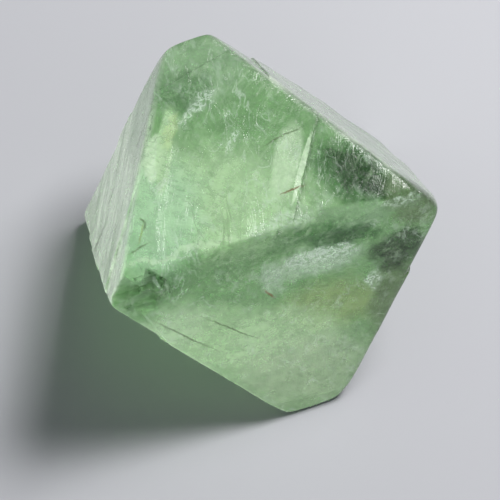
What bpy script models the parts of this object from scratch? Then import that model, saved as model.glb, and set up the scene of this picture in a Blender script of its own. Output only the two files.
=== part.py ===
"""A cleaved fluorite octahedron, about 36 mm across, lying on one of its eight cleavage faces.

It is one solid crystal. Every face is a cleavage plane, named here by where it faces while the
crystal lies at rest, and the wear on it is cut from those planes: blunt corners, worn ridges,
shallow cleavage ledges, one large shell-shaped chip on the front ridge and small chips round it.
"""

import math
import random

import bmesh
import bpy
from mathutils import Matrix, Vector, noise

MM = 0.001

# The cleavage faces: degrees round from +X, degrees of lean from straight up, and mm from the middle.
CLEAVAGE = {
    "top": (0, 0, 14.65),
    "rest": (0, 180, 10.8),
    "front": (-73.5, 65.6, 9.3),
    "left": (167.3, 72.6, 14.9),
    "back_right": (48.4, 71.3, 15.8),
    "under_back": (106.1, 105.4, 14.1),
    "under_right": (-12.5, 108.8, 14.25),
    "under_left": (-138.3, 111.6, 10.85),
}

# Corners knocked blunt: degrees round and of lean as above, and mm knocked off the point.
BLUNT_CORNERS = {
    "high_left": (134, 68, 0.65),
    "high_right": (86, 60, 0.3),
    "front_left": (-152, 60, 0.75),
    "front_left_low": (-146, 95, 0.25),
    "right_high": (12, 50, 0.7),
    "right": (2, 80, 0.75),
    "front_low": (-48, 116, 0.7),
    "front_low_left": (-110, 115, 0.3),
    "back_low": (62, 112, 0.5),
    "far_left": (168, 98, 0.35),
}

RIDGE_WEAR = 0.35 * MM
RELIEF_SPACING, HALVINGS = 2.3 * MM, 6
LEVEL_ANGLE = math.radians(0.5)
WAVE, WAVE_RISE = 6.5 * MM, 0.14 * MM

# The shell-shaped chip along the right half of the front ridge.
SHELL_CHORD, SHELL_DEPTH = 13.5 * MM, 0.9 * MM
SHELL_MIDDLE = Vector((8.1, -1.4, 14.65)) * MM
SHELL_FACING = (-73.5, 42)

# Chips broken out along the cleavage: their middle from the crystal's middle in mm, and their size in mm.
CHIPS = {
    "notch_outer": ((-12.0, -8.5, 13.5), 2.1),
    "notch_inner": ((-9.5, -7.7, 13.9), 1.9),
    "notch_low": ((-10.8, -8.8, 12.0), 1.8),
    "front_point": ((4.4, -14.9, -10.2), 0.8),
    "right_point": ((17.6, 0.9, 14.0), 1.1),
    "back_ridge": ((7.9, 9.4, 14.9), 0.9),
    "left_ridge": ((-9.3, 9.2, 14.9), 0.8),
}

# Ledges, each one layer split off part of a face: degrees that the split side lies round the face from
# its x direction, mm from the face's middle to the step, and the layer's mm of thickness.
LEDGES = (
    ("top", -15, 4.6, 0.25),
    ("top", 118, 14.6, 0.10),
    ("front", 196, 10.5, 0.30),
    ("front", 262, 13.4, 0.20),
    ("left", 238, 6.0, 0.25),
    ("left", 62, 9.0, 0.18),
    ("back_right", 264, 7.5, 0.25),
    ("back_right", 32, 11.0, 0.20),
    ("under_back", 84, 10.0, 0.26),
    ("under_back", 228, 9.0, 0.20),
    ("under_right", 78, 8.0, 0.24),
    ("under_right", -36, 9.5, 0.20),
    ("under_left", 101, 9.0, 0.25),
    ("under_left", 206, 9.0, 0.20),
)
BLOCK = 60 * MM

SMALL_CHIPS = 40
SMALL_CHIP_SIZES = (0.35, 0.8)
CHIP_SEED = 7


def facing(azimuth, lean):
    """The unit direction AZIMUTH degrees round from +X and LEAN degrees from straight up."""
    turned, leaned = math.radians(azimuth), math.radians(lean)
    flat = Vector((math.cos(turned), math.sin(turned), 0))
    return flat * math.sin(leaned) + Vector((0, 0, math.cos(leaned)))


def face_frame(azimuth, lean, distance):
    """A frame on a face, its middle level with the crystal's: x across the face, y up it, z out of it."""
    outward = facing(azimuth, lean)
    across = Vector((-math.sin(math.radians(azimuth)), math.cos(math.radians(azimuth)), 0))
    if lean == 0:
        across = Vector((1, 0, 0))
    axes = Matrix((across, outward.cross(across), outward)).transposed().to_4x4()
    return Matrix.Translation(outward * distance * MM) @ axes


def cleave(body, outward, distance):
    """Splits off what lies past one plane and closes the crystal with a flat face there."""
    everything = body.verts[:] + body.edges[:] + body.faces[:]
    split = bmesh.ops.bisect_plane(
        body, geom=everything, plane_co=outward * distance, plane_no=outward, clear_outer=True
    )
    rim = [item for item in split["geom_cut"] if isinstance(item, bmesh.types.BMEdge)]
    if rim:
        bmesh.ops.holes_fill(body, edges=rim)


def cleaved_body():
    """The block with its eight cleavage faces and blunt corners, before any wear."""
    body = bmesh.new()
    bmesh.ops.create_cube(body, size=BLOCK)
    for azimuth, lean, distance in CLEAVAGE.values():
        cleave(body, facing(azimuth, lean), distance * MM)
    for azimuth, lean, lost in BLUNT_CORNERS.values():
        outward = facing(azimuth, lean)
        point = max(outward.dot(vertex.co) for vertex in body.verts)
        cleave(body, outward, point - lost * MM)
    return body


def wear_ridges(body):
    """Rounds every edge of the body a little, as handling does."""
    bmesh.ops.bevel(
        body, geom=body.edges[:], offset=RIDGE_WEAR, segments=2, profile=0.5, affect="EDGES", clamp_overlap=True
    )
    bmesh.ops.remove_doubles(body, verts=body.verts[:], dist=0.02 * MM)


def divide(body, spacing):
    """Parts the faces into triangles with sides of about SPACING, by halving long edges a few times over."""
    bmesh.ops.dissolve_degenerate(body, edges=body.edges[:], dist=0.02 * MM)
    bmesh.ops.triangulate(body, faces=body.faces[:])
    for _ in range(HALVINGS):
        long_edges = [edge for edge in body.edges if edge.calc_length() > 1.5 * spacing]
        bmesh.ops.subdivide_edges(body, edges=long_edges, cuts=1)
        bmesh.ops.triangulate(body, faces=body.faces[:])
        level = [edge for edge in body.edges if edge.calc_face_angle(0) < LEVEL_ANGLE]
        bmesh.ops.beautify_fill(body, faces=body.faces[:], edges=level)


def add_relief(body, floor):
    """Lifts and sinks the surface in low waves towards and away from the middle, but not the resting face."""
    for vertex in body.verts:
        if vertex.co.z < floor + 0.5 * RIDGE_WEAR:
            continue
        vertex.co += vertex.co.normalized() * noise.noise(vertex.co / WAVE) * WAVE_RISE


def new_object(name, shape, collection):
    """Turns a bmesh into an object of the named collection."""
    mesh = bpy.data.meshes.new(name)
    shape.to_mesh(mesh)
    shape.free()
    made = bpy.data.objects.new(name, mesh)
    collection.objects.link(made)
    return made


def new_cutter(name, shape, place, cutters):
    """Puts a shape that is cut away at PLACE, drawn as wire and never rendered."""
    shape.transform(place)
    cutter = new_object(name, shape, cutters)
    cutter.hide_render = True
    cutter.display_type = "WIRE"


def ledge_cutter(name, face, turn, reach, layer, cutters):
    """A block that takes one thin layer off a face, past a straight step at REACH from its middle."""
    block = bmesh.new()
    bmesh.ops.create_cube(block, size=BLOCK)
    block.transform(Matrix.Translation((BLOCK / 2, 0, BLOCK / 2)))
    step = Matrix.Rotation(math.radians(turn), 4, "Z") @ Matrix.Translation((reach * MM, 0, -layer * MM))
    new_cutter(name, block, face_frame(*CLEAVAGE[face]) @ step, cutters)


def shell_cutter(cutters):
    """The large ball that leaves the shell-shaped hollow along the front ridge."""
    radius = SHELL_CHORD**2 / (8 * SHELL_DEPTH) + SHELL_DEPTH / 2
    ball = bmesh.new()
    bmesh.ops.create_icosphere(ball, subdivisions=5, radius=radius)
    middle = SHELL_MIDDLE + facing(*SHELL_FACING) * (radius - SHELL_DEPTH)
    new_cutter("shell_chip", ball, Matrix.Translation(middle), cutters)


def chip_cutter(name, middle, size, pick, cutters):
    """A small block with the crystal's own cleavage faces, each at its own distance from its middle."""
    chip = bmesh.new()
    bmesh.ops.create_cube(chip, size=6 * size)
    for azimuth, lean, _ in CLEAVAGE.values():
        cleave(chip, facing(azimuth, lean), size * pick.uniform(0.6, 1.0))
    new_cutter(name, chip, Matrix.Translation(middle), cutters)


def chip_cutters(ridges, cutters):
    """The named chips, and small ones at random places along the ridges."""
    pick = random.Random(CHIP_SEED)
    for name, (middle, size) in CHIPS.items():
        chip_cutter(name, Vector(middle) * MM, size * MM, pick, cutters)
    lengths = [(end - start).length for start, end in ridges]
    for number in range(SMALL_CHIPS):
        start, end = pick.choices(ridges, weights=lengths)[0]
        size = pick.uniform(*SMALL_CHIP_SIZES) * MM
        middle = start.lerp(end, pick.uniform(0.08, 0.92))
        middle += middle.normalized() * pick.uniform(0.3, 0.6) * size
        chip_cutter(f"small_chip_{number:02d}", middle, size, pick, cutters)


def carve(body, cutters, collection):
    """Cuts every object of CUTTERS away from the body and gives back what is left."""
    block = new_object("block", body, collection)
    cut = block.modifiers.new("cut", "BOOLEAN")
    cut.operation, cut.solver = "DIFFERENCE", "EXACT"
    cut.operand_type, cut.collection = "COLLECTION", cutters
    carved = bmesh.new()
    carved.from_object(block, bpy.context.evaluated_depsgraph_get())
    bpy.data.objects.remove(block)
    return carved


def fluorite():
    """Clear pale green mineral with a slightly frosted skin."""
    material = bpy.data.materials.new("fluorite")
    material.use_nodes = True
    shader = material.node_tree.nodes["Principled BSDF"]
    shader.inputs["Base Color"].default_value = (0.42, 0.62, 0.38, 1)
    shader.inputs["Roughness"].default_value = 0.22
    shader.inputs["Metallic"].default_value = 0
    shader.inputs["IOR"].default_value = 1.434
    material.diffuse_color = (0.42, 0.62, 0.38, 1)
    return material


def standing_shift(body):
    """The move that centres the body's box on the origin, with its lowest point at height 0."""
    places = [vertex.co for vertex in body.verts]
    low = [min(place[axis] for place in places) for axis in range(3)]
    high = [max(place[axis] for place in places) for axis in range(3)]
    return Vector((-(low[0] + high[0]) / 2, -(low[1] + high[1]) / 2, -low[2]))


def new_collection(name, parent):
    """A collection linked under PARENT."""
    collection = bpy.data.collections.new(name)
    parent.children.link(collection)
    return collection


def build():
    """Builds the crystal, with the cutters of its ledges and chips kept beside it."""
    for leftover in list(bpy.data.objects):
        bpy.data.objects.remove(leftover)
    scene = bpy.context.scene.collection
    part = new_collection("fluorite octahedron", scene)
    ledges, chips = new_collection("ledge cutters", scene), new_collection("chip cutters", scene)
    ledges.hide_render = chips.hide_render = True

    body = cleaved_body()
    floor = min(vertex.co.z for vertex in body.verts)
    ridges = [tuple(vertex.co.copy() for vertex in edge.verts) for edge in body.edges]
    ridges = [ends for ends in ridges if max(end.z for end in ends) > floor + 1 * MM]
    wear_ridges(body)
    for number, ledge in enumerate(LEDGES):
        ledge_cutter(f"ledge_{number:02d}", *ledge, ledges)
    body = carve(body, ledges, part)

    divide(body, RELIEF_SPACING)
    add_relief(body, floor)
    shell_cutter(chips)
    chip_cutters(ridges, chips)
    body = carve(body, chips, part)

    shift = standing_shift(body)
    crystal = new_object("fluorite_octahedron", body, part)
    crystal.data.materials.append(fluorite())
    for made in (crystal, *ledges.objects, *chips.objects):
        made.location = shift


build()
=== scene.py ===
"""The look of a cleaved fluorite octahedron, about 36 mm across, lying on one of its cleavage faces."""

import itertools
import math
import random

import bmesh
import bpy
import numpy as np
from mathutils import Matrix


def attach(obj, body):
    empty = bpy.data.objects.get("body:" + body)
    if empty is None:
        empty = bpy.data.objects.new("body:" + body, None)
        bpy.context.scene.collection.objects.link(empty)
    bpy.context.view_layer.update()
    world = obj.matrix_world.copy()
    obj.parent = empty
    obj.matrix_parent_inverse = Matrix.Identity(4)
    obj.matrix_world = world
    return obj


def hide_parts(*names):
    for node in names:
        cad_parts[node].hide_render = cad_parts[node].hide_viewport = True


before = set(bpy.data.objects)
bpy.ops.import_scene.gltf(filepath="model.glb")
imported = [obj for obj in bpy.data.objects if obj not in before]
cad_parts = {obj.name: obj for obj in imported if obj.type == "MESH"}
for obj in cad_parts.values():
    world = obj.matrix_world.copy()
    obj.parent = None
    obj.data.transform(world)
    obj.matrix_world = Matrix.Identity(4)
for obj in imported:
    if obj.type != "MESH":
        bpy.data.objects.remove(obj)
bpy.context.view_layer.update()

# ---------------------------------------------------------------------------------------------------
# The crystal. One piece of pale green fluorite, cleaved along eight flat planes, with its corners
# knocked blunt, its ridges worn, thin layers split off its faces and chips broken out of its ridges.
# Its surface is how far it reaches from its middle in each direction, in mm.

MM = 0.001
MIDDLE = np.array((-0.806, -1.867, 10.8))

# Degrees round from +X, degrees of lean from straight up, and mm from the middle.
CLEAVAGE = {
    "top": (0, 0, 14.65),
    "rest": (0, 180, 10.8),
    "front": (-73.5, 65.6, 9.3),
    "left": (167.3, 72.6, 14.9),
    "back_right": (48.4, 71.3, 15.8),
    "under_back": (106.1, 105.4, 14.1),
    "under_right": (-12.5, 108.8, 14.25),
    "under_left": (-138.3, 111.6, 10.85),
}

# Degrees round, degrees of lean and mm knocked off the point.
BLUNT_CORNERS = (
    (134, 68, 0.35),
    (112, 56, 0.3),
    (152, 66, 0.3),
    (86, 60, 0.05),
    (-152, 60, 0.5),
    (-146, 95, 0.05),
    (12, 50, 0.4),
    (2, 80, 0.45),
    (-14, 66, 0.2),
    (22, 72, 0.2),
    (-48, 116, 0.4),
    (-76, 104, 0.25),
    (-28, 108, 0.25),
    (-110, 115, 0.1),
    (62, 112, 0.3),
    (168, 98, 0.15),
)

# A layer split off: its face, degrees that the split side lies round, mm to the step, mm of thickness.
LEDGES = (
    ("top", -15, 4.6, 0.25),
    ("top", 118, 14.6, 0.10),
    ("front", 196, 10.5, 0.30),
    ("front", 262, 13.4, 0.20),
    ("left", 238, 6.0, 0.25),
    ("left", 62, 9.0, 0.18),
    ("back_right", 264, 7.5, 0.25),
    ("back_right", 32, 11.0, 0.20),
    ("under_back", 84, 10.0, 0.26),
    ("under_back", 228, 9.0, 0.20),
    ("under_right", 78, 8.0, 0.24),
    ("under_right", -36, 9.5, 0.20),
    ("under_left", 101, 9.0, 0.25),
    ("under_left", 206, 9.0, 0.20),
)
STEP_WIDTH = 0.12

# Chips broken out along the cleavage: middle from the crystal's middle, and size, in mm.
CHIPS = (
    ((-12.0, -8.5, 13.5), 2.1),
    ((-9.5, -7.7, 13.9), 1.9),
    ((-10.8, -8.8, 12.0), 1.8),
    ((4.4, -14.9, -10.2), 0.8),
    ((17.6, 0.9, 14.0), 1.1),
    ((7.9, 9.4, 14.9), 0.9),
    ((-9.3, 9.2, 14.9), 0.8),
)

# Small chips along the ridges that are long enough in mm, most of them little over the least size. Then
# the least and most of: how far along its ridge a chip lies, how far out from it in sizes, and, for large
# chips too, how far each of its faces lies from its middle in sizes.
SMALL_CHIPS, CHIPPED_RIDGE = 70, 4
SMALL_CHIP_LEAST, SMALL_CHIP_MORE = 0.25, 0.55
ALONG_RIDGE, OFF_RIDGE, CHIP_FACES = (0.05, 0.95), (0.3, 0.7), (0.6, 1)
CHIP_SEED = 7

# The shell-shaped chip along the front ridge: chord, depth and middle in mm, and the way that it faces.
SHELL_CHORD, SHELL_DEPTH = 13.5, 0.9
SHELL_MIDDLE = np.array((8.1, -1.4, 14.65))
SHELL_FACING = (-73.5, 42)

# How far the ridges are worn in, and the faint waves of the faces: their height, and how far above the
# resting face they have their full height, in mm, then their fineness in radians to a mm and what each
# adds to it, and their directions in degrees.
RIDGE_WEAR = 0.32
WAVES, WAVE_HEIGHT, WAVES_FROM = 9, 0.012, 1.5
WAVE_FINENESS, WAVE_FINER = 0.5, 0.12
WAVE_TURN, WAVE_LEAN, WAVE_LEAN_SWING = 137, 60, 50

# The mesh, in mm: the first grid and its rows, how often edges are halved, the miss that calls for it and
# the shortest edge that is halved, the gap closed along the ridges, and the longest sliver taken out.
GRID_STEP, FEWEST_ROWS, ROWS_TO_A_STEP = 0.45, 6, 0.7
FINER_PASSES, MOST_MISS, SHORTEST = 3, 0.012, 0.11
SEAM, SLIVER = 2e-3, 0.004
SHARP_FROM = 32

# What counts as parallel, as within all planes and as on a plane, what stands in for nought under a
# fraction, and a distance past the whole crystal.
PARALLEL, WITHIN, ON_PLANE, TINY, FAR = 1e-3, 1e-6, 1e-5, 1e-9, 1e3


def facing(azimuth, lean):
    """Unit directions so many degrees round from +X and from straight up, as rows: the sine of the lean
    times the cosine and the sine of the turn, then the cosine of the lean."""
    turn, down = np.radians(azimuth), np.radians(lean)
    return np.stack((np.sin(down) * np.cos(turn), np.sin(down) * np.sin(turn), np.cos(down)), axis=-1)


def corners(normals, distances):
    """Every point where three planes meet that lies past none of the others."""
    triples = np.array(list(itertools.combinations(range(len(distances)), 3)))
    sides = normals[triples]
    crossing = abs(np.linalg.det(sides)) > PARALLEL
    points = np.linalg.solve(sides[crossing], distances[triples[crossing]][..., None])[..., 0]
    return points[(points @ normals.T <= distances + WITHIN).all(axis=1)]


def blunted(normals, distances):
    """The planes with one more across each knocked corner, set in from that corner's point."""
    for azimuth, lean, lost in BLUNT_CORNERS:
        outward = facing(azimuth, lean)
        reach = (corners(normals, distances) @ outward).max() - lost
        normals, distances = np.vstack((normals, outward)), np.append(distances, reach)
    return normals, distances


face_names = list(CLEAVAGE)
azimuths, leans, face_distances = np.array(list(CLEAVAGE.values())).T
cleavage_normals = facing(azimuths, leans)
normals, distances = blunted(cleavage_normals, face_distances)


def face_axes(face):
    """The level direction across a face and the direction up it."""
    azimuth, lean, _ = CLEAVAGE[face]
    across = np.array((1.0, 0, 0)) if lean == 0 else facing(azimuth + 90, 90)
    return across, np.cross(facing(azimuth, lean), across)


def face_polygon(number):
    """The corners of one plane's face, in order round it."""
    points = corners(normals, distances)
    flush = abs(points @ normals[number] - distances[number]) < ON_PLANE
    points = np.unique(np.round(points[flush], 6), axis=0)
    if len(points) < 3:
        return points
    middle = points.mean(axis=0)
    across = points[0] - middle
    along = np.cross(normals[number], across)
    far_along = (points - middle) @ along / np.linalg.norm(along)
    far_across = (points - middle) @ across / np.linalg.norm(across)
    return points[np.argsort(np.arctan2(far_along, far_across))]


def fan_patch(middle, start, end, rows):
    """A grid over the triangle from a face's middle to one side of it. The first parameter runs out from
    the middle, as the sine of equal steps so that rows crowd towards the ridge; the second runs along it.
    The side's length is rounded first, so that the two faces at a ridge cut it into the same columns."""
    columns = max(1, int(round(np.linalg.norm(end - start), 3) / GRID_STEP))
    outward = np.sin(np.linspace(0, math.pi / 2, rows + 1))[:, None, None]
    along = np.linspace(0, 1, columns + 1)[None, :, None]
    points = middle + outward * (start + along * (end - start) - middle)
    index = np.arange((rows + 1) * (columns + 1)).reshape(rows + 1, columns + 1)
    quads = np.stack((index[:-1, :-1], index[1:, :-1], index[1:, 1:], index[:-1, 1:]), axis=-1)
    return points.reshape(-1, 3), quads.reshape(-1, 4)


def worn_planes(directions):
    """How far each direction reaches: the smooth least of its distances to the planes, each plane set in
    by the layers split off it past their steps. The smooth least is the least, less the wear times the
    logarithm of the sum, over the planes, of the exponential of minus what each is over it by the wear."""
    slant = directions @ normals.T
    reach = np.where(slant > PARALLEL, distances / np.maximum(slant, PARALLEL), FAR)
    for face, turn, step, layer in LEDGES:
        number = face_names.index(face)
        across, up = face_axes(face)
        split_side = across * math.cos(math.radians(turn)) + up * math.sin(math.radians(turn))
        past = (directions * reach[:, [number]] @ split_side - step) / STEP_WIDTH
        reach[:, number] -= layer * np.clip(past, 0, 1) / np.maximum(slant[:, number], PARALLEL)
    nearest = reach.min(axis=1)
    over = reach - nearest[:, None]
    return nearest - RIDGE_WEAR * np.log(np.exp(-over / RIDGE_WEAR).sum(axis=1))


def chip_out(reach, directions, middle, size, planes):
    """Breaks out a small block with the crystal's own faces, each so much of the size from its middle.
    Where a line from the crystal's middle enters the block before it leaves the crystal, and leaves the
    block after it, the surface drops to that entry."""
    slant = directions @ cleavage_normals.T
    limit = (size * planes + cleavage_normals @ middle) / np.where(slant == 0, TINY, slant)
    enters = np.where(slant < 0, limit, -FAR).max(axis=1)
    leaves = np.where(slant > 0, limit, FAR).min(axis=1)
    cut = (enters < reach) & (leaves > reach) & (enters < leaves)
    return np.where(cut, enters, reach)


def scoop_out(reach, directions):
    """The shell-shaped chip: a large ball cut into the front ridge. The ball's radius is the chord squared
    over eight depths, plus half the depth. A line meets it at its nearest point less half its chord."""
    radius = SHELL_CHORD**2 / (8 * SHELL_DEPTH) + SHELL_DEPTH / 2
    middle = SHELL_MIDDLE + facing(*SHELL_FACING) * (radius - SHELL_DEPTH)
    near = directions @ middle
    half_squared = near**2 - middle @ middle + radius**2
    enters = near - np.sqrt(np.maximum(half_squared, 0))
    return np.where((near > 0) & (half_squared > 0) & (enters < reach), enters, reach)


def small_chip_places(pick):
    """Random places along the longer ridges, as (middle, size)."""
    ridges = []
    for number in range(len(CLEAVAGE)):
        polygon = face_polygon(number)
        sides = zip(polygon, np.roll(polygon, -1, axis=0))
        ridges += [(start, end) for start, end in sides if np.linalg.norm(end - start) > CHIPPED_RIDGE]
    for _ in range(SMALL_CHIPS):
        start, end = pick.choice(ridges)
        size = SMALL_CHIP_LEAST + SMALL_CHIP_MORE * pick.random() ** 2
        middle = start + (end - start) * pick.uniform(*ALONG_RIDGE)
        yield middle * (1 + pick.uniform(*OFF_RIDGE) * size / np.linalg.norm(middle)), size


def faint_waves(points):
    """A sum of sines of how far each point lies along scattered directions, each finer than the last."""
    total = 0
    for number in range(WAVES):
        heading = facing(WAVE_TURN * number, WAVE_LEAN + WAVE_LEAN_SWING * math.sin(number))
        fineness = WAVE_FINENESS + WAVE_FINER * number
        total = total + math.cos(3 * number) * np.sin(points @ heading * fineness + number)
    return total


def crystal_surface(points):
    """Moves points near the crystal on to its worn surface, along lines from its middle."""
    directions = points / np.linalg.norm(points, axis=1, keepdims=True)
    reach = worn_planes(directions)
    above_rest = np.clip((directions[:, 2] * reach + CLEAVAGE["rest"][2]) / WAVES_FROM, 0, 1)
    reach = reach + WAVE_HEIGHT * faint_waves(points) * above_rest
    pick = random.Random(CHIP_SEED)
    for middle, size in itertools.chain(CHIPS, small_chip_places(pick)):
        planes = np.array([pick.uniform(*CHIP_FACES) for _ in face_names])
        reach = chip_out(reach, directions, np.array(middle), size, planes)
    return directions * scoop_out(reach, directions)[:, None]


def read_points(mesh):
    """A mesh's points in mm from the crystal's middle."""
    points = np.empty(3 * len(mesh.vertices))
    mesh.vertices.foreach_get("co", points)
    return points.reshape(-1, 3) / MM - MIDDLE


def write_points(mesh, points):
    """Puts points in mm from the crystal's middle back into the mesh."""
    mesh.vertices.foreach_set("co", ((points + MIDDLE) * MM).ravel())
    mesh.update()


def face_fans():
    """Every face as a fan of patches, as all their points and all their quads."""
    points, quads, total = [], [], 0
    for number in range(len(distances)):
        polygon = face_polygon(number)
        if len(polygon) < 3:
            continue
        middle = polygon.mean(axis=0)
        rows = int(np.linalg.norm(polygon - middle, axis=1).max() / GRID_STEP * ROWS_TO_A_STEP)
        for start, end in zip(polygon, np.roll(polygon, -1, axis=0)):
            patch, faces = fan_patch(middle, start, end, max(FEWEST_ROWS, rows))
            points.append(patch)
            quads.append(faces + total)
            total += len(patch)
    return np.concatenate(points), np.concatenate(quads)


def halve_edges(mesh, skin):
    """Halves each edge whose middle lies off the surface, and moves every point on to the surface."""
    points = read_points(mesh)
    ends = np.empty(2 * len(mesh.edges), dtype=np.int32)
    mesh.edges.foreach_get("vertices", ends)
    start, end = points[ends[::2]], points[ends[1::2]]
    middles = (start + end) / 2
    misses = np.linalg.norm(crystal_surface(middles) - middles, axis=1)
    halved = (misses > MOST_MISS) & (np.linalg.norm(end - start, axis=1) > SHORTEST)
    skin.clear()
    skin.from_mesh(mesh)
    skin.edges.ensure_lookup_table()
    bmesh.ops.subdivide_edges(skin, edges=[skin.edges[i] for i in np.flatnonzero(halved)], cuts=1)
    bmesh.ops.triangulate(skin, faces=skin.faces[:])
    skin.to_mesh(mesh)
    write_points(mesh, crystal_surface(read_points(mesh)))


def crystal_mesh():
    """The fans sewn along the ridges into one closed skin, moved on to the surface, and made finer a few
    times over so that steps and chips come out crisp."""
    points, quads = face_fans()
    mesh = bpy.data.meshes.new("fluorite_crystal")
    mesh.from_pydata((points + MIDDLE) * MM, [], quads)
    skin = bmesh.new()
    skin.from_mesh(mesh)
    bmesh.ops.remove_doubles(skin, verts=skin.verts[:], dist=SEAM * MM)
    bmesh.ops.triangulate(skin, faces=skin.faces[:])
    bmesh.ops.recalc_face_normals(skin, faces=skin.faces[:])
    skin.to_mesh(mesh)
    write_points(mesh, crystal_surface(read_points(mesh)))
    for _ in range(FINER_PASSES):
        halve_edges(mesh, skin)
    skin.clear()
    skin.from_mesh(mesh)
    bmesh.ops.dissolve_degenerate(skin, dist=SLIVER * MM, edges=skin.edges[:])
    bmesh.ops.triangulate(skin, faces=skin.faces[:])
    skin.to_mesh(mesh)
    skin.free()
    mesh.shade_smooth()
    mesh.set_sharp_from_angle(angle=math.radians(SHARP_FROM))
    return mesh


crystal = bpy.data.objects.new("fluorite_crystal", crystal_mesh())
bpy.context.scene.collection.objects.link(crystal)

# Shades of this stone, as (red, green, blue) from 0 to 255.
LEAF = (118, 160, 108)
MOSS = (52, 98, 50)
PINE = (3, 30, 6)
SPRING = (182, 216, 168)
MINT = (172, 212, 174)
MIST = (166, 190, 154)
PALE = (206, 232, 196)
OLIVE = (98, 122, 84)
FERN = (140, 164, 106)
SAGE = (142, 170, 138)
MILK = (208, 228, 210)
STRAW = (190, 214, 156)
RUST = (126, 92, 58)

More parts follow.
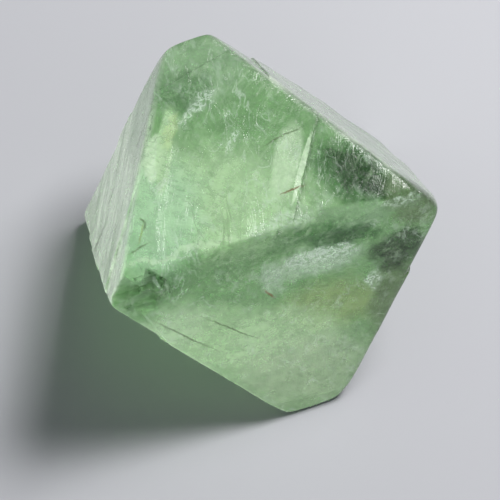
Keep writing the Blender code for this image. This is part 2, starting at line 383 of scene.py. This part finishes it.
# Patches where the stone looks lighter, darker or cloudier than the rest. Some are its own colour zones and
# milky veils; the broad light and dark patches on the top and the front are painted light and painted
# shade, standing in for light that passes through the stone and for dark surroundings seen inside it.
# Columns: the face that it shows on, or all where it is empty, middle in mm, half sizes in mm across, along
# and deep, degrees turned about the vertical, how soft its edge is, shade, strength, and how broken up it
# is.
ZONES_AND_PAINTED_LIGHT = (
    # Lighter over the left of the top: painted light, the lit table seen through the stone.
    ("", (-3.0, -1.5, 25.5), (9.0, 5.5, 3.0), -12, 0.9, SPRING, 0.75, 0.1),
    ("", (-9.5, -3.0, 25.5), (4.0, 6.0, 3.0), -12, 0.9, MINT, 0.65, 0.1),
    # Darker at the back of the top and down the left side: painted shade.
    ("", (-6.0, 12.6, 25.5), (6.0, 4.0, 3.0), 0, 0.9, SAGE, 0.6, 0.2),
    ("left", (-10.2, 10.0, 22.5), (4.5, 6.0, 5.0), 0, 0.9, SAGE, 0.75, 0.2),
    ("top", (-6.5, 10.2, 25.5), (3.0, 2.0, 2.0), 20, 0.8, MOSS, 0.55, 0.4),
    ("top", (-9.7, 3.4, 25.5), (0.9, 2.4, 3.0), -10, 0.3, PALE, 0.95, 0.3),
    ("top", (-8.6, 4.2, 25.5), (0.8, 4.4, 3.0), -8, 0.4, SPRING, 0.9, 0.3),
    ("top", (-7.9, 6.0, 25.5), (0.7, 1.8, 3.0), -8, 0.6, STRAW, 0.6, 0.4),
    ("top", (-5.3, 8.6, 25.5), (0.6, 2.8, 2.0), -48, 0.8, MILK, 0.7, 1.0),
    ("top", (-1.7, 4.8, 25.5), (0.5, 1.6, 2.0), -28, 0.8, MILK, 0.7, 1.0),
    ("top", (3.2, 2.6, 25.5), (1.3, 3.8, 2.0), -13, 0.5, PALE, 0.7, 0.3),
    ("top", (4.55, 1.6, 25.5), (0.3, 3.6, 2.0), -16, 0.3, PALE, 0.95, 0.1),
    # Darker towards the right corner of the top: painted shade, dark surroundings seen inside the stone.
    ("top", (9.6, 0.9, 25.5), (4.6, 3.0, 3.0), -40, 0.4, MOSS, 0.7, 0.1),
    ("top", (10.8, 0.4, 25.5), (4.0, 2.0, 2.0), -40, 0.8, PINE, 0.85, 0.25),
    ("top", (7.8, 3.2, 25.5), (1.8, 0.7, 2.0), -20, 0.7, PINE, 0.6, 0.5),
    # Shaded at the right corner and along the shell-shaped chip under the front ridge: painted shade.
    ("", (15.6, -1.9, 25.0), (3.3, 2.6, 5.0), -30, 0.6, OLIVE, 1.0, 0.1),
    ("", (11.0, -3.4, 24.4), (9.0, 1.5, 1.8), 3, 0.8, SAGE, 0.7, 0.3),
    ("", (11.0, -3.6, 24.0), (7.0, 1.0, 1.4), 3, 0.8, MOSS, 0.4, 0.7),
    ("", (14.4, -1.7, 25.2), (2.4, 0.5, 1.6), 12, 0.8, MILK, 0.8, 1.0),
    ("", (2.0, -4.0, 25.0), (3.0, 0.9, 1.0), 16, 0.8, MILK, 0.6, 0.9),
    ("", (-7.5, -6.2, 25.4), (6.0, 0.35, 1.0), 13, 0.8, PALE, 0.5, 0.3),
    # The dark band under the front ridge: painted shade.
    ("front", (-1.5, -6.6, 24.4), (10.5, 2.0, 2.3), 14, 0.8, MOSS, 0.45, 0.4),
    ("front", (3.5, -4.6, 23.6), (3.5, 1.2, 1.6), 14, 0.8, MOSS, 0.5, 0.4),
    ("", (9.5, -4.6, 22.4), (6.0, 1.2, 1.6), -2, 0.7, MOSS, 0.9, 0.3),
    ("", (9.5, -4.6, 22.4), (4.6, 0.8, 1.1), -2, 0.8, PINE, 0.45, 0.5),
    ("", (7.0, -8.8, 13.8), (5.5, 3.0, 3.6), 0, 0.9, FERN, 0.8, 0.1),
    # Lighter over much of the front: painted light, the glow of light that passes through the stone.
    ("", (-5.0, -11.5, 13.0), (7.5, 4.0, 5.5), 0, 0.9, SPRING, 0.75, 0.1),
    ("", (-8.5, -10.5, 17.5), (3.0, 3.0, 3.5), 0, 0.9, PALE, 0.4, 0.1),
    ("", (2.0, -12.0, 11.0), (6.0, 4.0, 5.0), 0, 0.9, SPRING, 0.8, 0.1),
    ("", (4.0, -13.0, 6.0), (7.0, 4.0, 6.0), 0, 0.9, MIST, 0.8, 0.1),
    # Darker at the right front: painted shade.
    ("", (13.2, -7.0, 10.0), (2.0, 4.0, 9.0), -20, 0.9, OLIVE, 1.0, 0.1),
    ("", (13.8, -4.9, 18.4), (2.8, 2.4, 3.0), 0, 0.6, PINE, 0.9, 0.25),
    ("front", (5.6, -6.2, 19.8), (5.4, 1.6, 1.8), 0, 0.9, MILK, 0.55, 0.4),
    ("front", (6.4, -5.7, 20.8), (5.0, 1.0, 1.0), 0, 0.9, MILK, 1.0, 1.0),
    ("front", (1.2, -7.6, 19.8), (0.9, 1.6, 2.6), 35, 0.9, MILK, 0.5, 0.5),
    ("front", (11.4, -6.9, 15.6), (0.7, 1.0, 1.9), 20, 0.9, MILK, 0.9, 0.9),
    ("", (-10.8, -8.6, 22.6), (3.0, 2.2, 2.4), 0, 0.7, MOSS, 0.45, 0.6),
    ("", (-10.7, -8.4, 22.6), (1.9, 1.5, 1.6), 0, 0.7, PINE, 0.6, 0.7),
    ("", (-12.3, -8.2, 22.3), (1.2, 0.6, 0.4), 0, 0.5, MILK, 0.9, 0.6),
    ("", (-10.3, -8.0, 22.9), (0.25, 1.2, 1.2), 30, 0.5, MILK, 0.9, 0.6),
    ("", (-9.1, -6.9, 24.6), (0.4, 0.5, 0.6), 0, 0.6, RUST, 0.7, 0.3),
)

# Cracks that reach the surface: face, both ends in mm, half width in mm, shade. Below them stand how far
# all of them reach in, in mm, how soft their edges are, and their strength.
CRACKS = (
    ("top", (4.6, 5.9, 25.4), (1.1, 4.2, 25.4), 0.09, OLIVE),
    ("top", (4.8, 0.1, 25.4), (2.4, -0.8, 25.4), 0.09, RUST),
    ("top", (-10.4, -5.1, 25.4), (-12.6, -6.2, 25.4), 0.08, OLIVE),
    ("top", (-11.0, -3.0, 25.4), (-11.6, -5.3, 25.4), 0.08, FERN),
    ("front", (-10.4, -11.3, 19.4), (-4.7, -12.7, 13.0), 0.09, OLIVE),
    ("front", (-5.5, -10.7, 17.7), (-0.7, -11.6, 12.8), 0.09, OLIVE),
    ("front", (0.6, -8.4, 18.6), (1.4, -8.9, 17.2), 0.12, RUST),
    ("left", (-9.9, 8.5, 25.2), (-12.0, 4.8, 21.0), 0.14, OLIVE),
    ("top", (-11.3, -2.5, 25.4), (-10.8, -3.1, 25.4), 0.1, OLIVE),
    ("top", (-10.8, -3.0, 25.4), (-11.0, -3.8, 25.4), 0.1, OLIVE),
    ("left", (-14.8, 0.5, 15.4), (-16.6, -1.7, 11.4), 0.3, OLIVE),
    ("left", (-13.6, 4.0, 16.0), (-14.9, 1.5, 13.6), 0.09, OLIVE),
    ("back_right", (9.7, 7.8, 22.6), (14.5, 3.6, 21.0), 0.1, OLIVE),
)
CRACK_DEPTH, CRACK_SOFTNESS, CRACK_STRENGTH = 1.5, 0.9, 0.8

# The two high sides at the left and the back are painted pale: a painted reflection and glow of light, as
# they show seen edge-on. Their pale shade, and that of the dark streaks that run level across them, so many
# times as long as wide.
PAINTED_REFLECTION_FACES = (
    ("left", (236, 254, 230), (164, 190, 156)),
    ("back_right", (238, 248, 234), (164, 186, 160)),
)
PAINTED_REFLECTION_STRENGTH, STREAK_LENGTH = 0.85, 9

# Bundles of fine strokes, so many times as long as wide: how they are turned in radians, strokes to a mm,
# the noise from which they show and at which they are whole, seed, strength, shade.
STROKE_LENGTH = 6
STROKES = (
    ((0, 0, -0.6), 2.2, 0.42, 0.6, 60, 0.2, PALE),
    ((0.5, 0.3, 0.5), 1.4, 0.45, 0.62, 70, 0.22, MILK),
    ((0.2, 0, 1.1), 3.0, 0.4, 0.56, 80, 0.22, MOSS),
)

# Hairlines: how many to a mm, how they are turned in radians and stretched, how thin, the noise from which
# they show and at which they are whole, seed, strength, shade.
HAIRLINES = (
    (0.8, (0.4, 0.1, 1.2), (1.2, 0.5, 1), 0.035, 0.44, 0.6, 90, 0.14, PALE),
    (0.22, (0.3, 0.2, 0.7), (1.3, 0.6, 1), 0.010, 0.46, 0.6, 20, 0.38, MILK),
    (0.5, (0.1, 0.4, 2.2), (1.6, 0.4, 1), 0.009, 0.52, 0.64, 30, 0.3, MILK),
    (0.16, (0.2, 0.5, -0.5), (1, 0.35, 1), 0.0035, 0.47, 0.54, 40, 0.3, OLIVE),
)

# How far the edges of patches wander in mm, soft ones and crisp ones, and the softness that parts the two.
SOFT_WANDER, CRISP_WANDER, SOFT_FROM = 3.2, 0.7, 0.5

# How far a face's own patches reach below it and fade, and the same for its painted pale reflection, in mm.
PATCH_REACH, PATCH_FADE = 0.3, 0.35
PAINTED_REFLECTION_REACH, PAINTED_REFLECTION_FADE = 0.15, 0.5

# What mottling multiplies the shades by at its darkest and lightest, and how each seed shifts a noise.
DARKER, LIGHTER = (0.82, 0.84, 0.83, 1), (1.15, 1.13, 1.14, 1)
SEED_SHIFT = (13.7, 7.1, 3.3)

# The relief of the faces in mm: pits, grain, and cleavage layers, with how many of these there are from
# end to end of their noise, and where in a layer its little step up begins.
PIT_DEPTH, GRAIN_DEPTH, LAYER_STEP = 0.08, 0.04, 0.013
LAYERS, STEP_BEGINS = 22, 0.72

fluorite = bpy.data.materials.new("fluorite")
fluorite.use_nodes = True
tree = fluorite.node_tree
shader = tree.nodes["Principled BSDF"]


def shade(red, green, blue):
    """The linear colour of a shade given from 0 to 255: each part by 255, plus 0.055, by 1.055, to the
    power of 2.4."""
    return tuple(((part / 255 + 0.055) / 1.055) ** 2.4 for part in (red, green, blue)) + (1,)


def node(kind, **settings):
    """A new node in the crystal's material."""
    made = tree.nodes.new(kind)
    for name, value in settings.items():
        setattr(made, name, value)
    return made


def feed(socket, value):
    """A socket takes another node's output or a plain value."""
    if isinstance(value, bpy.types.NodeSocket):
        tree.links.new(value, socket)
    else:
        socket.default_value = value


def maths(operation, first, second=0.0):
    """One step of arithmetic on one or two numbers."""
    made = node("ShaderNodeMath", operation=operation)
    feed(made.inputs[0], first)
    feed(made.inputs[1], second)
    return made.outputs[0]


def ramp(value, low, high, to_low=0.0, to_high=1.0):
    """Smoothly from to_low to to_high as the value goes from low to high."""
    made = node("ShaderNodeMapRange", interpolation_type="SMOOTHSTEP")
    for socket, number in zip(made.inputs, (value, low, high, to_low, to_high)):
        feed(socket, number)
    return made.outputs[0]


def blend(amount, under, over, mode="MIX"):
    """One colour laid over another by an amount from 0 to 1."""
    made = node("ShaderNodeMix", data_type="RGBA", blend_type=mode)
    feed(made.inputs[0], amount)
    feed(made.inputs[6], under)
    feed(made.inputs[7], over)
    return made.outputs[2]


def moved(place, location=(0, 0, 0), rotation=(0, 0, 0), scale=(1, 1, 1), kind="POINT"):
    """The place scaled, turned and moved, or with the kind TEXTURE the pattern that is read there."""
    made = node("ShaderNodeMapping", vector_type=kind)
    for socket, value in zip(made.inputs, (place, location, rotation, scale)):
        feed(socket, value)
    return made.outputs[0]


def noise(place, per_mm, detail, rough, swirl, seed=0, output="Fac"):
    """Cloudy noise with about this many lumps to a mm, read at a place that the seed shifts."""
    made = node("ShaderNodeTexNoise")
    feed(made.inputs["Vector"], moved(place, location=[seed * shift for shift in SEED_SHIFT]))
    feed(made.inputs["Scale"], per_mm)
    feed(made.inputs["Detail"], detail)
    feed(made.inputs["Roughness"], rough)
    feed(made.inputs["Distortion"], swirl)
    return made.outputs[output]


in_mm = node("ShaderNodeVectorMath", operation="SCALE")
feed(in_mm.inputs[0], node("ShaderNodeTexCoord").outputs["Object"])
feed(in_mm.inputs["Scale"], 1 / MM)
place_mm = in_mm.outputs[0]
drift = noise(place_mm, per_mm=0.45, detail=5, rough=0.6, swirl=0.6, output="Color")


def wandering(most):
    """The place in mm, moved by up to half of most each way along each axis."""
    made = node("ShaderNodeVectorMath", operation="MULTIPLY_ADD")
    feed(made.inputs[0], drift)
    feed(made.inputs[1], (most, most, most))
    feed(made.inputs[2], moved(place_mm, location=(-most / 2, -most / 2, -most / 2)))
    return made.outputs[0]


def on_face(face, depth, fade):
    """1 where the place lies within depth mm of a cleavage face's plane, falling to 0 over fade mm more."""
    outward = facing(*CLEAVAGE[face][:2])
    made = node("ShaderNodeVectorMath", operation="DOT_PRODUCT")
    feed(made.inputs[0], place_mm)
    feed(made.inputs[1], outward.tolist())
    flush = CLEAVAGE[face][2] + float(MIDDLE @ outward) - depth
    return ramp(made.outputs["Value"], flush - fade, flush)


def inside(place, middle, half, rotation, soft):
    """1 inside a ball stretched to the half sizes, turned and put at its middle, falling to 0 over its
    edge. The gradient falls from 1 at the middle to 0 at one and a half times the half sizes."""
    reach = 1.5
    made = node("ShaderNodeTexGradient", gradient_type="SPHERICAL")
    feed(made.inputs[0], moved(place, middle, rotation, [reach * size for size in half], kind="TEXTURE"))
    return ramp(made.outputs["Fac"], 1 - (1 + soft / 2) / reach, 1 - (1 - soft / 2) / reach)


def threads(scale, rotation, stretch, thin, low, high, seed):
    """Thin wandering lines: where a smooth noise passes its middle value, kept in some places only."""
    drawn = moved(place_mm, rotation=rotation, scale=stretch)
    field = noise(drawn, scale, detail=4, rough=0.5, swirl=0.9, seed=seed)
    kept = noise(place_mm, 0.7 * scale, detail=3, rough=0.5, swirl=0.5, seed=seed + 1)
    line = ramp(maths("ABSOLUTE", maths("SUBTRACT", field, 0.5)), 0.0, thin, 1, 0)
    return maths("MULTIPLY", line, ramp(kept, low, high))


def strokes(rotation, per_mm, low, high, seed):
    """Bundles of fine parallel strokes: noise drawn out along its second axis, kept in some places only."""
    drawn = moved(place_mm, rotation=rotation, scale=(1, STROKE_LENGTH, 1), kind="TEXTURE")
    field = noise(drawn, per_mm, detail=4, rough=0.6, swirl=0.5, seed=seed)
    kept = noise(place_mm, per_mm=0.2, detail=2, rough=0.5, swirl=0.8, seed=seed + 1)
    return maths("MULTIPLY", ramp(field, 0.5, 0.66), ramp(kept, low, high))


soft_place, crisp_place = wandering(SOFT_WANDER), wandering(CRISP_WANDER)
masks = {face: on_face(face, PATCH_REACH, PATCH_FADE) for face in ("top", "front", "left", "back_right")}
flecks = ramp(noise(place_mm, per_mm=1.7, detail=7, rough=0.7, swirl=1.5, seed=8), 0.4, 0.62)
unflecked = maths("SUBTRACT", 1.0, flecks)
colour = shade(*LEAF)

# The painted pale reflection on the two high sides, streaked along their top ridges.
for face, tint, dark in PAINTED_REFLECTION_FACES:
    along_ridge = (0, 0, math.radians(CLEAVAGE[face][0]))
    drawn = moved(place_mm, rotation=along_ridge, scale=(1, STREAK_LENGTH, 1), kind="TEXTURE")
    streaks = ramp(noise(drawn, per_mm=1.1, detail=5, rough=0.6, swirl=0.3, seed=50), 0.4, 0.7)
    streaked = blend(streaks, shade(*tint), shade(*dark))
    amount = maths("MULTIPLY", on_face(face, PAINTED_REFLECTION_REACH, PAINTED_REFLECTION_FADE), PAINTED_REFLECTION_STRENGTH)
    colour = blend(amount, colour, streaked)

# The patches: colour zones and veils of the stone, and painted light and shade.
for face, middle, half, turn, soft, tint, strength, broken in ZONES_AND_PAINTED_LIGHT:
    place = soft_place if soft > SOFT_FROM else crisp_place
    amount = inside(place, middle, half, (0, 0, math.radians(turn)), soft)
    kept = maths("SUBTRACT", strength, maths("MULTIPLY", unflecked, broken * strength))
    amount = maths("MULTIPLY", amount, kept)
    if face:
        amount = maths("MULTIPLY", amount, masks[face])
    colour = blend(amount, colour, shade(*tint))

for face, start, end, width, tint in CRACKS:
    start, end = np.array(start), np.array(end)
    along = (end - start) / np.linalg.norm(end - start)
    outward = facing(*CLEAVAGE[face][:2])
    sideways = np.cross(outward, along) / np.linalg.norm(np.cross(outward, along))
    turned = Matrix(np.stack((along, sideways, np.cross(along, sideways)), axis=1).tolist()).to_euler()
    half = (float(np.linalg.norm(end - start)) / 2, width, CRACK_DEPTH)
    amount = inside(crisp_place, ((start + end) / 2).tolist(), half, turned, CRACK_SOFTNESS)
    amount = maths("MULTIPLY", maths("MULTIPLY", amount, masks[face]), CRACK_STRENGTH)
    colour = blend(amount, colour, shade(*tint))

# Mottling, then strokes and hairlines, which are the healed cracks and fibres.
mottled = ramp(noise(place_mm, per_mm=0.7, detail=9, rough=0.7, swirl=0.4, seed=1), 0.3, 0.7)
colour = blend(1.0, colour, blend(mottled, DARKER, LIGHTER), "MULTIPLY")
for rotation, per_mm, low, high, seed, strength, tint in STROKES:
    amount = maths("MULTIPLY", strokes(rotation, per_mm, low, high, seed), strength)
    colour = blend(amount, colour, shade(*tint))
for scale, rotation, stretch, thin, low, high, seed, strength, tint in HAIRLINES:
    amount = maths("MULTIPLY", threads(scale, rotation, stretch, thin, low, high, seed), strength)
    colour = blend(amount, colour, shade(*tint))
feed(shader.inputs["Base Color"], colour)

# The stone lets two thirds of the light through and scatters the rest, as its haze does. Fluorite bends
# light less than glass, and its polish is a little uneven.
dullness = noise(place_mm, per_mm=0.7, detail=6, rough=0.6, swirl=0.5, seed=6)
feed(shader.inputs["Roughness"], ramp(dullness, 0.3, 0.7, to_low=0.16, to_high=0.28))
shader.inputs["Transmission Weight"].default_value = 0.65
shader.inputs["IOR"].default_value = 1.434
shader.inputs["Sheen Weight"].default_value = 0.12
shader.inputs["Sheen Roughness"].default_value = 0.4

# Fine pits and grain, and thin cleavage layers that end in little steps.
pitted = moved(place_mm, rotation=(0, 0, 0.75), scale=(1.0, 2.2, 1))
pits = noise(pitted, per_mm=1.1, detail=5, rough=0.55, swirl=0.8, seed=7)
layered = moved(place_mm, rotation=(0.2, 0.3, 0.9), scale=(1, 0.6, 1))
layers = maths("MULTIPLY", noise(layered, per_mm=0.17, detail=3, rough=0.5, swirl=1.1, seed=9), LAYERS)
steps = maths("ADD", maths("FLOOR", layers), ramp(maths("FRACT", layers), STEP_BEGINS, 1.0))
grain = noise(place_mm, per_mm=2.6, detail=2, rough=0.5, swirl=0.6, seed=11)
height = maths("ADD", maths("MULTIPLY", pits, PIT_DEPTH), maths("MULTIPLY", steps, LAYER_STEP))
height = maths("ADD", height, maths("MULTIPLY", grain, GRAIN_DEPTH))
bump = node("ShaderNodeBump")
feed(bump.inputs["Strength"], 0.6)
feed(bump.inputs["Distance"], MM)
feed(bump.inputs["Height"], height)
feed(shader.inputs["Normal"], bump.outputs["Normal"])

absorption = node("ShaderNodeVolumeAbsorption")
absorption.inputs["Color"].default_value = (0.35, 0.75, 0.35, 1)
absorption.inputs["Density"].default_value = 20
tree.links.new(absorption.outputs["Volume"], tree.nodes["Material Output"].inputs["Volume"])
crystal.data.materials.append(fluorite)
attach(crystal, "root")
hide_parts("fluorite_octahedron")

# ---------------------------------------------------------------------------------------------------
# The studio: a plain pale table, four soft lamps and the camera, none of them a part of the crystal.
# The table is 2 m wide and lies a hair below the resting face, so that the two never share a plane.

TABLE_SIZE, TABLE_GAP = 2, 0.15
bpy.ops.mesh.primitive_plane_add(size=TABLE_SIZE, location=(0, 0, -TABLE_GAP * MM))
table = bpy.context.object
table.name = "table"
paper = bpy.data.materials.new("pale_table")
paper.use_nodes = True
paper.node_tree.nodes["Principled BSDF"].inputs["Base Color"].default_value = (0.5, 0.5, 0.53, 1)
paper.node_tree.nodes["Principled BSDF"].inputs["Roughness"].default_value = 0.8
table.data.materials.append(paper)

world = bpy.data.worlds.new("studio")
world.use_nodes = True
world.node_tree.nodes["Background"].inputs["Color"].default_value = (0.9, 0.95, 1.0, 1)
world.node_tree.nodes["Background"].inputs["Strength"].default_value = 0.18
bpy.context.scene.world = world

# Lamps: name, degrees round from +X and from straight up, watts, and side in m, all so many m away. The
# one on the right throws the shadow. The others light the crystal alone, so the table has no other.
LAMP_DISTANCE = 0.35
LAMPS = (
    ("right_lamp", 40, 32, 1.4, 0.10),
    ("front_lamp", -102, 66, 2.0, 0.16),
    ("left_lamp", 195, 56, 1.8, 0.16),
    ("back_lamp", 75, 70, 0.7, 0.16),
)
lit_alone = bpy.data.collections.new("lit alone")
lit_alone.objects.link(crystal)
for name, azimuth, lean, watts, side in LAMPS:
    lamp = bpy.data.lights.new(name, "AREA")
    lamp.energy, lamp.size = watts, side
    lamp_object = bpy.data.objects.new(name, lamp)
    bpy.context.scene.collection.objects.link(lamp_object)
    lamp_object.location = facing(azimuth, lean) * LAMP_DISTANCE
    lamp_object.rotation_euler = (math.radians(lean), 0, math.radians(azimuth + 90))
    lamp_object.visible_transmission = False
    if name != "right_lamp":
        lamp_object.light_linking.receiver_collection = lit_alone
        lamp_object.visible_glossy = False

# The view: 73 degrees down, turned a little, from 0.4 m away. One pixel of a render 500 wide covers a
# tenth of a mm at the crystal's middle.
PIXEL, RENDER_WIDTH, SENSOR_WIDTH = 0.1, 500, 36
VIEW_LEAN, VIEW_ROLL, VIEW_DISTANCE = math.radians(73.1), math.radians(-2.8), 402.8
camera = bpy.data.cameras.new("camera")
camera.sensor_width = SENSOR_WIDTH
camera.lens = SENSOR_WIDTH * VIEW_DISTANCE / (RENDER_WIDTH * PIXEL)
camera.clip_start = 0.01
camera_object = bpy.data.objects.new("camera", camera)
bpy.context.scene.collection.objects.link(camera_object)
back = np.array((0, -math.cos(VIEW_LEAN), math.sin(VIEW_LEAN)))
across = np.array((1.0, 0, 0))
up = np.cross(back, across)
right = math.cos(VIEW_ROLL) * across + math.sin(VIEW_ROLL) * up
up = np.cross(back, right)
camera_place = np.eye(4)
camera_place[:3, :3] = np.stack((right, up, back), axis=1)
camera_place[:3, 3] = (MIDDLE + back * VIEW_DISTANCE) * MM
camera_object.matrix_world = Matrix(camera_place.tolist())
bpy.context.scene.camera = camera_object
bpy.context.scene.view_settings.view_transform = "Standard"
